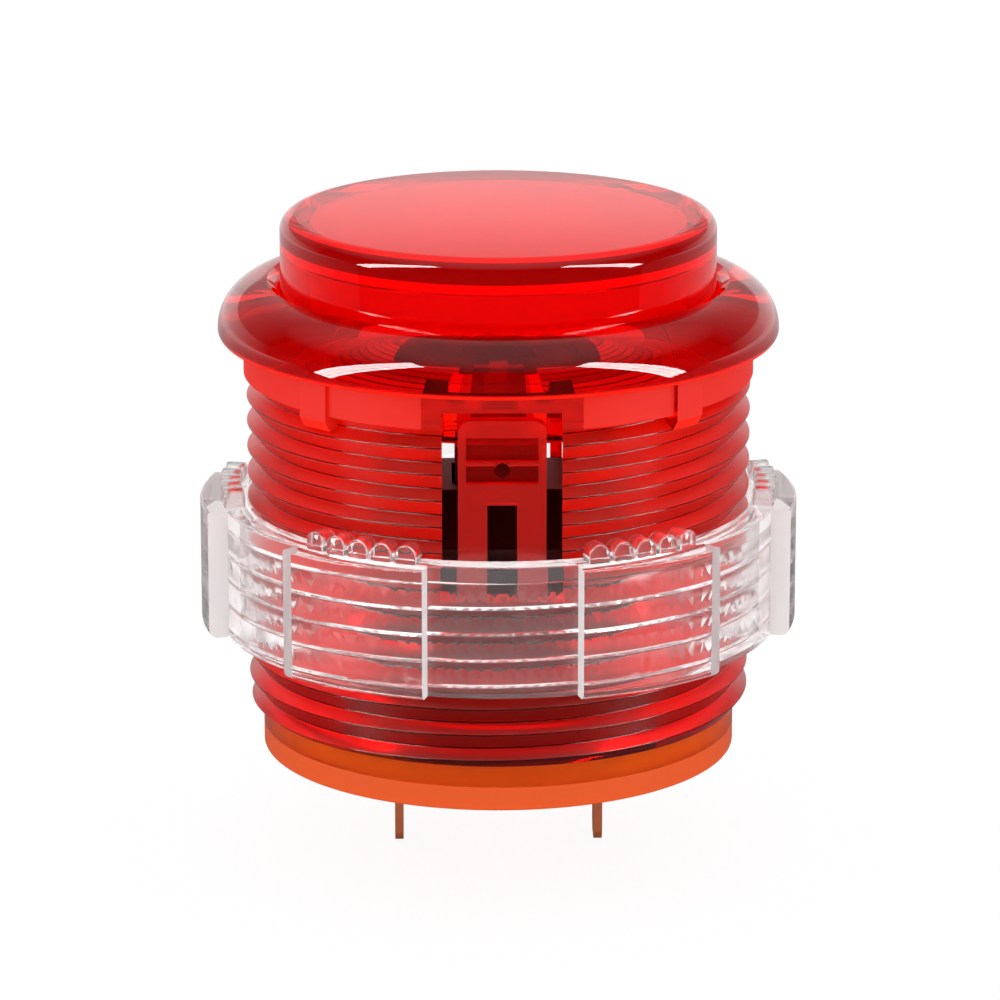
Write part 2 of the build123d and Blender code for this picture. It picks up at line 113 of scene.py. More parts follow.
def angle(label, description, degrees):
    """Angle property with its default given in degrees."""
    return FloatProperty(
        name=label,
        description=description,
        default=math.radians(degrees),
        unit="ROTATION",
        subtype="ANGLE",
    )


def factor(label, description, value):
    """Plain number property."""
    return FloatProperty(name=label, description=description, default=value, unit="NONE")


def count(label, description, value):
    """Whole number property."""
    return IntProperty(name=label, description=description, default=value, min=1)


class BarrelSizes(bpy.types.PropertyGroup):
    """Sizes of the threaded barrel, its rim and its two spring tabs."""

    rim_radius: length("Rim radius", "Outer radius of the rim", 16.1)
    rim_height: length("Rim height", "Height of the rim over the panel", 3.3)
    rim_edge: length("Rim edge", "Radius under the rim's outer edge", 0.55)
    mouth_radius: length("Mouth radius", "Radius of the rim's inner lip", 13.25)
    mouth_depth: length("Mouth depth", "Depth of the chamfer inside the lip", 0.6)
    collar_radius: length("Collar radius", "Radius of the collar that guides the plunger", 12.7)
    collar_end: length("Collar end", "Depth of the collar's lower end", 1.9)
    bore_radius: length("Bore radius", "Inner radius of the barrel", 13.05)
    skirt_radius: length("Skirt radius", "Radius of the plain skirt under the rim", 14.65)
    skirt_height: length("Skirt height", "Height of the plain skirt", 2.05)
    barrel_end: length("Barrel end", "Depth of the barrel's lower end", 21.5)
    end_chamfer: length("End chamfer", "Chamfer at the barrel's lower end", 0.3)
    groove_radius: length("Groove radius", "Radius of the groove for the base's ridges", 13.3)
    groove_top: length("Groove top", "Depth of the groove's upper side", 18.8)
    groove_bottom: length("Groove bottom", "Depth of the groove's lower side", 19.8)
    thread_radius: length("Thread radius", "Crest radius of the thread", 14.5)
    thread_depth: length("Thread depth", "Radial depth of the thread", 0.7)
    thread_pitch: length("Thread pitch", "Rise of the thread in one turn", 1.5)
    thread_upper_flank: length("Upper flank", "Height from a crest to the root over it", 0.56)
    thread_round: length("Thread round", "Radius of the thread's crests and roots", 0.07)
    thread_crest: length("Thread crest", "Depth of the first crest at +X", 4.2)
    rib_count: count("Ribs", "Number of centring ribs", 4)
    rib_radius: length("Rib radius", "Radius over the centring ribs", 14.85)
    rib_root: length("Rib root", "Depth of a rib's root under the thread's crests", 0.6)
    rib_width: length("Rib width", "Width of a centring rib", 2.05)
    rib_height: length("Rib height", "Height of a centring rib", 2.95)
    rib_taper: length("Rib taper", "Height of the taper at a rib's foot", 0.6)
    window_width: length("Window width", "Width of the window in the barrel", 6.65)
    window_top: length("Window top", "Depth of the window's upper edge", 1.15)
    window_bottom: length("Window bottom", "Depth of the window's lower edge", 12.05)
    flat_distance: length("Flat distance", "Distance of the skirt flats and tab faces from the axis", 13.95)
    tab_width: length("Tab width", "Width of the spring tab", 4.9)
    tab_top: length("Tab top", "Depth of the tab's free end", 1.6)
    tab_corner: length("Tab corner", "Corner radius of the tab's free end", 0.7)
    tab_rail: length("Tab rail", "Width of the rails beside the tab's pocket", 0.45)
    pocket_top: length("Pocket top", "Depth of the pocket's upper edge", 2.55)
    pocket_bottom: length("Pocket bottom", "Depth of the pocket's lower edge", 5.2)
    pocket_depth: length("Pocket depth", "Depth of the pocket into the tab", 0.5)
    bar_level: length("Bar level", "Depth of the thin bar across the pocket", 4.05)
    bar_height: length("Bar height", "Height of the thin bar", 0.2)
    pip_level: length("Pip level", "Depth of the pip in the pocket", 4.4)
    pip_radius: length("Pip radius", "Radius of the pip", 0.45)
    slot_width: length("Slot width", "Width of the slot in the tab's foot", 1.65)
    slot_top: length("Slot top", "Depth of the slot's upper end", 6.4)


class PlungerSizes(bpy.types.PropertyGroup):
    """Sizes of the plunger."""

    radius: length("Radius", "Outer radius of the plunger", 12.5)
    top: length("Top", "Height of the plunger's face over the panel", 7.1)
    edge: length("Edge", "Radius of the plunger's rounded edge", 0.9)
    # Painted shade: a dark crimson band is painted under the rounded edge, and the profile gets a ring of
    # points where it ends
    painted_shade_band: length("Edge shade", "Height of the dark band under the rounded edge", 0.5)
    wall: length("Wall", "Thickness of the side wall", 1.7)
    roof: length("Roof", "Thickness of the roof", 1.8)
    inner_edge: length("Inner edge", "Radius inside the roof's corner", 0.6)
    grain_end: length("Grain end", "Height at which the grain inside the side wall ends", 2.6)
    bottom: length("Bottom", "Depth of the plunger's lower end", 3.2)
    flange_radius: length("Flange radius", "Radius of the retaining flange", 12.9)
    flange_height: length("Flange height", "Height of the retaining flange", 1.2)
    push_rib: length("Push rib", "Thickness of the push cross", 1.2)
    push_length: length("Push length", "Width of the push cross from left to right", 8.0)
    push_depth: length("Push depth", "Width of the push cross from front to back", 4.4)
    push_end: length("Push end", "Depth of the push cross's lower end", 0.68)
    push_gap: length("Push gap", "Hairline over the push cross, which leaves the roof whole", 0.02)
    pusher_width: length("Pusher width", "Width of the pusher under the cross", 3.2)
    pusher_end: length("Pusher end", "Depth of the pusher's lower end", 6.18)


class NutSizes(bpy.types.PropertyGroup):
    """Sizes of the toothed ring nut."""

    top: length("Top", "Depth of the ring's upper face", 9.4)
    height: length("Height", "Height of the ring", 7.5)
    bore_radius: length("Bore radius", "Radius over the crests of the inner thread", 14.7)
    ring_radius: length("Ring radius", "Outer radius of the ring", 16.1)
    pad_radius: length("Pad radius", "Outer radius over the grip pads", 17.25)
    pad_count: count("Pads", "Number of grip pads", 6)
    pad_angle: angle("Pad angle", "Angle that one pad takes up", 30.0)
    pad_foot: length("Pad foot", "Radius under a pad's lower edge", 0.5)
    edge: length("Edge", "Small radius of the moulded edges", 0.15)
    thread_depth: length("Thread depth", "Radial depth of the inner thread", 0.3)
    groove_flank: length("Groove flank", "Height from a groove of the inner thread to the crest over it", 0.3)
    thread_relief: length("Thread relief", "Plain height over the inner thread", 1.1)
    tooth_radius: length("Tooth radius", "Half the width of a tooth", 0.625)
    tooth_height: length("Tooth height", "Height of a tooth", 1.05)
    tooth_start: length("Tooth start", "Radius where the teeth begin", 14.9)
    tooth_pitch: angle("Tooth pitch", "Angle from one tooth to the next", 5.2)
    tooth_count: count("Teeth", "Teeth on one pad", 5)


class BaseSizes(bpy.types.PropertyGroup):
    """Sizes of the base cap."""

    radius: length("Radius", "Outer radius of the base", 13.7)
    top: length("Top", "Depth of the shoulder under the barrel", 21.53)
    bottom: length("Bottom", "Depth of the underside", 24.3)
    floor: length("Floor", "Thickness of the floor", 0.87)
    frost_top: length("Frost top", "Depth at which the frosted band inside the cup begins", 21.8)
    grain_top: length("Grain top", "Height of the grained band around the base's lower edge", 1.4)
    edge: length("Edge", "Radius of the lower edge", 0.2)
    spigot_radius: length("Spigot radius", "Outer radius of the spigot in the barrel", 12.95)
    spigot_wall: length("Spigot wall", "Wall thickness of the spigot", 1.05)
    spigot_top: length("Spigot top", "Depth of the spigot's upper end", 17.5)
    ridge_radius: length("Ridge radius", "Radius over the snap ridges", 13.2)
    ridge_top: length("Ridge top", "Depth of a snap ridge's upper side", 18.9)
    ridge_bottom: length("Ridge bottom", "Depth of a snap ridge's lower side", 19.7)
    ridge_angle: angle("Ridge angle", "Angle that one snap ridge takes up", 18.0)
    ridge_count: count("Ridges", "Number of snap ridges", 4)
    clip_place: length("Clip place", "Distance of a clip's inner face from the axis", 8.4)
    clip_thickness: length("Clip thickness", "Thickness of a clip", 1.1)
    clip_width: length("Clip width", "Width of a clip", 5.0)
    clip_top: length("Clip top", "Depth of a clip's upper end", 17.6)
    hook: length("Hook", "Reach of a clip's hook", 0.5)
    hook_bottom: length("Hook bottom", "Depth of the hook's underside", 18.5)
    hook_nose: length("Hook nose", "Height of the hook's blunt nose", 0.3)
    slot_place: length("Slot place", "Distance of a blade slot from the axis", 5.83)
    slot_thickness: length("Slot thickness", "Width of a blade slot", 0.66)
    slot_width: length("Slot width", "Length of a blade slot", 2.96)


class SpringSizes(bpy.types.PropertyGroup):
    """Sizes of the return spring."""

    radius: length("Radius", "Radius of the coil, to the middle of the wire", 1.8)
    wire: length("Wire", "Diameter of the wire", 0.45)
    turns: factor("Turns", "Number of turns", 4.5)
    bottom: length("Bottom", "Depth of the lower end", 22.15)
    top: length("Top", "Depth of the upper end", 16.45)
    seat: length("Seat", "Depth of the case's floor, on which the spring is squeezed", 22.2)
    slider_seat: length("Slider seat", "Depth of the pocket in the slider that rests on the spring", 16.4)
    travel: length("Travel", "Way by which the plunger squeezes the spring", 3.0)


class Finishes(bpy.types.PropertyGroup):
    """Colours of the materials. A plastic's depth is what one millimetre of it leaves of white light."""

    red: colour("Red", "Skin of the polished red polycarbonate", "#FF6450")
    red_grain: colour("Red grain", "Skin of the red polycarbonate where the mould is grained", "#FF2008")
    # Painted shade: a dark crimson skin put on rounded edges, the thread's crests and roots and the plunger's
    # pusher
    red_painted_shade: colour("Red edge", "Skin of the red polycarbonate on rounded edges", "#8C1008")
    red_depth: colour("Red depth", "Depth of the red polycarbonate", "#FF7858")
    orange: colour("Orange", "Skin of the polished orange polycarbonate", "#FFDCB8")
    orange_grain: colour("Orange grain", "Skin of the orange polycarbonate where it is frosted", "#FFA850")
    orange_edge: colour("Orange edge", "Skin of the orange polycarbonate on the lower edge", "#FF6424")
    orange_depth: colour("Orange depth", "Depth of the orange polycarbonate", "#FFECC8")
    clear: colour("Clear", "Skin of the clear polycarbonate", "#FFFFFF")
    clear_depth: colour("Clear depth", "Depth of the clear polycarbonate", "#FFFEFE")
    black: colour("Black", "Black polyamide of the switch", "#141214")
    copper: colour("Copper", "Copper alloy of the blades", "#B0643C")
    silver: colour("Silver", "Silver contact points", "#D9D7D0")
    steel: colour("Steel", "Drawn spring wire", "#A9A9AC")
    floor: colour("Floor", "White studio floor", "#FFFFFF")


class StageSettings(bpy.types.PropertyGroup):
    """Camera, floor and light of the studio."""

    distance: length("Distance", "Distance of the camera from its target", 300.0)
    target: length("Target", "Depth of the camera's target on the axis", 9.95)
    elevation: angle("Elevation", "Height of the camera over the horizon", 15.5)
    yaw: angle("Yaw", "Turn of the camera to the left round the axis", 0.9)
    focal: factor("Focal length", "Focal length in millimetres on a 36 mm sensor", 186.3)
    shift: factor("Shift", "Sideways shift of the picture", 0.0017)
    clip_start: length("Clip start", "Distance from the camera at which its view begins", 10.0)
    floor_level: length("Floor level", "Depth of the floor under the panel plane", 30.45)
    floor_half: length("Floor half", "Half the side of the floor", 4000.0)
    floor_front: length("Floor front", "Reach of the floor in front of the axis", 40.0)
    floor_glow: factor("Floor glow", "Share of the floor's white that shines by itself", 0.93)
    floor_white: length("Floor white", "Way behind the axis to where reflections show a white floor", 300.0)
    fill: factor("Fill", "Strength of the light from all round", 1.2)
    room: factor("Room", "Brightness of the room in front, as reflections show it", 0.04)
    back_start: factor("Back start", "Backward share of a direction where the white back begins", 0.3)
    back_full: factor("Back full", "Backward share of a direction where the back is all white", 0.9)
    sky: factor("Sky", "Brightness over the backdrop, as reflections show it", 0.38)
    overhead: factor("Overhead", "Brightness right overhead, as reflections show it", 0.6)
    overhead_start: factor("Overhead start", "Upward share of a direction where that light begins", 0.5)
    overhead_full: factor("Overhead full", "Upward share of a direction where that light is full", 0.9)
    backdrop_fade: angle("Backdrop fade", "Height over the horizon where the backdrop begins to fade", 11.7)
    backdrop_end: angle("Backdrop end", "Height over the horizon where the backdrop ends", 12.9)
    lamp_distance: length("Lamp distance", "Distance of the lamps from the origin", 500.0)
    lamp_low_azimuth: angle("Lamp low azimuth", "Direction of a lamp's lower end from the front", 75.0)
    lamp_low_elevation: angle("Lamp low elevation", "Height of a lamp's lower end over the horizon", -8.0)
    lamp_high_azimuth: angle("Lamp high azimuth", "Direction of a lamp's upper end from the front", 39.0)
    lamp_high_elevation: angle("Lamp high elevation", "Height of a lamp's upper end over the horizon", 42.0)
    lamp_tubes: count("Lamp tubes", "Tubes in one lamp", 3)
    lamp_tube_width: length("Tube width", "Width of one tube", 25.0)
    lamp_tube_pitch: length("Tube pitch", "Distance from one tube to the next", 28.0)
    lamp_power: factor("Tube power", "Power of one tube in watts", 0.75)


def profile_arc(centre, radii, start, end, steps):
    """Points of an elliptical arc in the XZ plane, between two angles in degrees."""
    angles = [math.radians(start + (end - start) * i / steps) for i in range(steps + 1)]
    return [(centre[0] + radii[0] * math.cos(a), centre[1] + radii[1] * math.sin(a)) for a in angles]


def corner(x, z, radius, start, end, steps):
    """Points of a round corner in the XZ plane, between two angles in degrees."""
    return profile_arc((x, z), (radius, radius), start, end, steps)


def everything(bm):
    """All vertices, edges and faces of a mesh."""
    return [*bm.verts, *bm.edges, *bm.faces]


def vertices(geom):
    """Vertices among what an operator gives back."""
    return [part for part in geom if isinstance(part, bmesh.types.BMVert)]


def spun(profile, steps=256, sweep=TURN, start=0.0):
    """Closed profile in the XZ plane, spun round the axis. A part turn is closed at both ends."""
    bm = bmesh.new()
    face = bm.faces.new([bm.verts.new((x, 0.0, z)) for x, z in profile])
    whole = sweep >= TURN
    if whole:
        bm.faces.remove(face)
    bmesh.ops.rotate(bm, verts=bm.verts, matrix=Matrix.Rotation(start, 3, "Z"))
    bmesh.ops.spin(bm, geom=everything(bm), axis=(0, 0, 1), angle=sweep, steps=steps, use_merge=whole)
    bmesh.ops.remove_doubles(bm, verts=bm.verts, dist=MERGE)
    bmesh.ops.recalc_face_normals(bm, faces=bm.faces)
    return bm


def block(low, high):
    """Box between two corners."""
    low, high = Vector(low), Vector(high)
    bm = bmesh.new()
    place = Matrix.Translation((low + high) / 2) @ Matrix.Diagonal((*(high - low), 1.0))
    bmesh.ops.create_cube(bm, size=1.0, matrix=place)
    return bm


def prism(outline, depth, place):
    """Outline in the XZ plane, pushed out along +Y and then put in its place."""
    bm = bmesh.new()
    face = bm.faces.new([bm.verts.new((x, 0.0, z)) for x, z in outline])
    pushed = bmesh.ops.extrude_face_region(bm, geom=[face], use_keep_orig=True)
    bmesh.ops.translate(bm, verts=vertices(pushed["geom"]), vec=(0, depth, 0))
    bmesh.ops.transform(bm, verts=bm.verts, matrix=place)
    bmesh.ops.recalc_face_normals(bm, faces=bm.faces)
    return bm


def threaded_rod(crest, root, pitch, upper_flank, rounding, first_crest, low, high, steps=144):
    """Solid right-hand screw between two heights, with its first crest at +X at the height given."""
    bm = bmesh.new()
    turns = math.ceil((high - low) / pitch) + 3
    base = first_crest - pitch * math.ceil((first_crest - low) / pitch + 1)
    upper = math.degrees(math.atan2(crest - root, upper_flank))
    lower = math.degrees(math.atan2(crest - root, pitch - upper_flank))
    valley = corner(root + rounding, base + upper_flank - pitch, rounding, 180 + upper, 180 - lower, 6)
    outline = valley + corner(crest - rounding, base, rounding, -lower, upper, 6)
    outline.append((valley[0][0], valley[0][1] + pitch))
    verts = [bm.verts.new((x, 0.0, z)) for x, z in outline]
    edges = [bm.edges.new(pair) for pair in zip(verts, verts[1:])]
    rise = (0, 0, pitch / steps)
    bmesh.ops.spin(bm, geom=verts + edges, axis=(0, 0, 1), dvec=rise, angle=TURN, steps=steps)
    first_turn = everything(bm)
    for turn in range(1, turns):
        copied = bmesh.ops.duplicate(bm, geom=first_turn)["geom"]
        bmesh.ops.translate(bm, verts=vertices(copied), vec=(0, 0, turn * pitch))
    bmesh.ops.remove_doubles(bm, verts=bm.verts, dist=MERGE)
    for height, outwards in ((high, (0, 0, 1)), (low, (0, 0, -1))):
        bmesh.ops.bisect_plane(
            bm,
            geom=everything(bm),
            plane_co=(0, 0, height),
            plane_no=outwards,
            clear_outer=True,
        )
    bmesh.ops.holes_fill(bm, edges=[e for e in bm.edges if e.is_boundary], sides=0)
    bmesh.ops.recalc_face_normals(bm, faces=bm.faces)
    return bm


def coil(radius, wire, turns, low, high, steps=36, sides=12):
    """Right-hand open coil of round wire between two heights, which starts at +X."""
    bm = bmesh.new()
    total = round(turns * steps)
    place = Matrix.Translation((radius, 0.0, low + wire / 2)) @ Matrix.Rotation(TURN / 4, 4, "X")
    bmesh.ops.create_circle(bm, cap_ends=True, segments=sides, radius=wire / 2, matrix=place)
    rise = (0, 0, (high - low - wire) / total)
    sweep = TURN * total / steps
    bmesh.ops.spin(bm, geom=everything(bm), axis=(0, 0, 1), dvec=rise, angle=sweep, steps=total)
    bmesh.ops.recalc_face_normals(bm, faces=bm.faces)
    return bm


def as_object(name, bm):
    """Put a mesh into a new object of the scene."""
    mesh = bpy.data.meshes.new(name)
    bm.to_mesh(mesh)
    bm.free()
    made = bpy.data.objects.new(name, mesh)
    bpy.context.scene.collection.objects.link(made)
    return made


def discard(helper):
    """Remove an object that has done its work, with its mesh."""
    mesh = helper.data
    bpy.data.objects.remove(helper)
    bpy.data.meshes.remove(mesh)


def combine(piece, tools, operation):
    """Join closed meshes to a piece, cut them out of it or keep what they share with it."""
    for tool in tools:
        other = as_object("tool", tool)
        modifier = piece.modifiers.new(operation, "BOOLEAN")
        modifier.operation = operation
        modifier.solver = "MANIFOLD"
        modifier.object = other
        evaluated = piece.evaluated_get(bpy.context.evaluated_depsgraph_get())
        result = bpy.data.meshes.new_from_object(evaluated)
        piece.modifiers.clear()
        old = piece.data
        piece.data = result
        bpy.data.meshes.remove(old)
        discard(other)
        if not result.polygons:
            raise RuntimeError(f"{operation} left nothing of {piece.name}")


def finish_piece(piece, material, body, node):
    """Smooth a piece between its sharp edges, and let it stand for its CAD node."""
    mesh = piece.data
    mesh.name = piece.name
    mesh.materials.clear()
    mesh.materials.append(material)
    mesh.polygons.foreach_set("use_smooth", [True] * len(mesh.polygons))
    mesh.set_sharp_from_angle(angle=SHARP)
    weighted = piece.modifiers.new("Even shading", "WEIGHTED_NORMAL")
    weighted.keep_sharp = True
    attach(piece, body)
    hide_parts(node)


def refinish(piece, material, wanted):
    """Give the faces of a piece whose centre and normal pass a test another finish."""
    piece.data.materials.append(material)
    last = len(piece.data.materials) - 1
    for face in piece.data.polygons:
        if wanted(face.center, face.normal):
            face.material_index = last


def off_axis(at):
    """Distance of a point from the axis."""
    return math.hypot(at.x, at.y)


def outward(at, facing):
    """Share of a face's normal that points away from the axis."""
    return facing.dot(Vector((at.x, at.y, 0.0)).normalized())


def add_node(tree, kind, inputs=None, **settings):
    """Add a shader node with its settings and its inputs, each a value or the output that feeds it."""
    node = tree.nodes.new(kind)
    for name, value in settings.items():
        setattr(node, name, value)
    for name, value in (inputs or {}).items():
        if isinstance(value, bpy.types.NodeSocket):
            tree.links.new(value, node.inputs[name])
        else:
            node.inputs[name].default_value = value
    return node


def new_material(name):
    """Material without any nodes yet, and its node tree."""
    material = bpy.data.materials.new(name)
    material.use_nodes = True
    material.node_tree.nodes.clear()
    return material, material.node_tree


# Moulded polycarbonates: skin and depth, which are colours of Finishes, clearness, roughness and shine.
# Clearness is the share of light that the skin lets through. The rest glows in the skin's colour.
PLASTICS = {
    # Polished red: fiery where light comes through, deep crimson over the dark switch
    "Red polycarbonate": ("red", "red_depth", 1.0, 0.0, 0.5),
    # Painted shade: a dark crimson skin on rounded edges, the thread's crests and roots and the pusher, for
    # the dark that the eye meets lengthwise through the wall
    "Edge red polycarbonate": ("red_painted_shade", "red_depth", 1.0, 0.0, 0.5),
    # A finely grained mould veils what lies behind with an even red
    "Satin red polycarbonate": ("red_grain", "red_depth", 0.77, 0.2, 0.3),
    # The thread's flanks blur what lies behind into soft lines
    "Thread red polycarbonate": ("red_grain", "red_depth", 0.64, 0.3, 0.1),
    # Clearer lower turns, with the switch's dark foot showing through them
    "Clear thread red polycarbonate": ("red_grain", "red_depth", 0.9, 0.3, 0.1),
    # A coarsely grained mould gives an even red, with a hint of what lies behind
    "Grained red polycarbonate": ("red_grain", "red_depth", 0.32, 0.6, 0.05),
    # Frosted red throws all light back, so that the clear plastic over it shines evenly
    "Frosted red polycarbonate": ("red_grain", "red_depth", 0.02, 0.6, 0.05),
    # Clear with a breath of haze, so that thick edges stay white
    "Clear polycarbonate": ("clear", "clear_depth", 0.97, 0.05, 0.5),
    # Frosted clear plastic stands out white
    "Frosted clear polycarbonate": ("clear", "clear_depth", 0.25, 0.5, 0.2),
    # Polished orange, with the black switch showing through it
    "Orange polycarbonate": ("orange", "orange_depth", 1.0, 0.0, 0.15),
    # Frosted orange glows behind the polished wall
    "Frosted orange polycarbonate": ("orange_grain", "orange_depth", 0.1, 0.5, 0.15),
    # A finely grained mould, a deeper orange
    "Grained orange polycarbonate": ("orange_edge", "orange_depth", 0.3, 0.3, 0.15),
}
POLYCARBONATE_IOR = 1.5
# Limits of a depth, so that a plastic's loss of light is neither none nor endless
DARKEST = 1e-4
CLEAREST = 0.998

# Materials that let no light through: skin, which is a colour of Finishes, roughness and metallic
SOLIDS = {
    # Moulded black polyamide swallows light, with a broad grey sheen on its upper faces
    "Black polyamide": ("black", 0.42, 0.0),
    # Stamped copper alloy with a dull skin, a warm brown from every side
    "Copper alloy": ("copper", 0.5, 0.0),
    # Silver contact buttons, pale and bright
    "Silver contact": ("silver", 0.25, 1.0),
    # Drawn spring wire, grey with long highlights
    "Spring steel": ("steel", 0.22, 1.0),
}
# Width of the grain in their sheen, as coarse as it needs to show, and how far it changes roughness
SHEEN_GRAIN = 0.4 * MM
SHEEN_CHANGE = 0.06


def moulded(name):
    """Polycarbonate whose walls bend what lies behind them and tint it by their thickness."""
    found = bpy.data.materials.get(name)
    if found:
        return found
    skin, depth, clearness, roughness, shine = PLASTICS[name]
    finishes = bpy.context.scene.button_finishes
    material, tree = new_material(name)
    surface = {
        "Base Color": (*getattr(finishes, skin), 1.0),
        "Roughness": roughness,
        "IOR": POLYCARBONATE_IOR,
        "Transmission Weight": clearness,
        "Specular IOR Level": shine,
    }
    shader = add_node(tree, "ShaderNodeBsdfPrincipled", surface)
    left_over = [min(max(c, DARKEST), CLEAREST) for c in getattr(finishes, depth)]
    losses = [-math.log(c) / MM for c in left_over]
    most = max(losses)
    kept = [1.0 - loss / most for loss in losses]
    inside = add_node(tree, "ShaderNodeVolumeAbsorption", {"Color": (*kept, 1.0), "Density": most})
    ends = {"Surface": shader.outputs["BSDF"], "Volume": inside.outputs["Volume"]}
    add_node(tree, "ShaderNodeOutputMaterial", ends)
    return material


def opaque(name):
    """Solid material with a slight grain in its sheen."""
    found = bpy.data.materials.get(name)
    if found:
        return found
    skin, roughness, metallic = SOLIDS[name]
    base = (*getattr(bpy.context.scene.button_finishes, skin), 1.0)
    material, tree = new_material(name)
    place = add_node(tree, "ShaderNodeTexCoord")
    pattern = {"Vector": place.outputs["Object"], "Scale": 1.0 / SHEEN_GRAIN, "Detail": 2.0}
    grain = add_node(tree, "ShaderNodeTexNoise", pattern)
    sheen = {
        "Value": grain.outputs["Fac"],
        "To Min": roughness - SHEEN_CHANGE,
        "To Max": roughness + SHEEN_CHANGE,
    }
    spread = add_node(tree, "ShaderNodeMapRange", sheen)
    surface = {"Base Color": base, "Metallic": metallic, "Roughness": spread.outputs["Result"]}
    shader = add_node(tree, "ShaderNodeBsdfPrincipled", surface)
    add_node(tree, "ShaderNodeOutputMaterial", {"Surface": shader.outputs["BSDF"]})
    return material


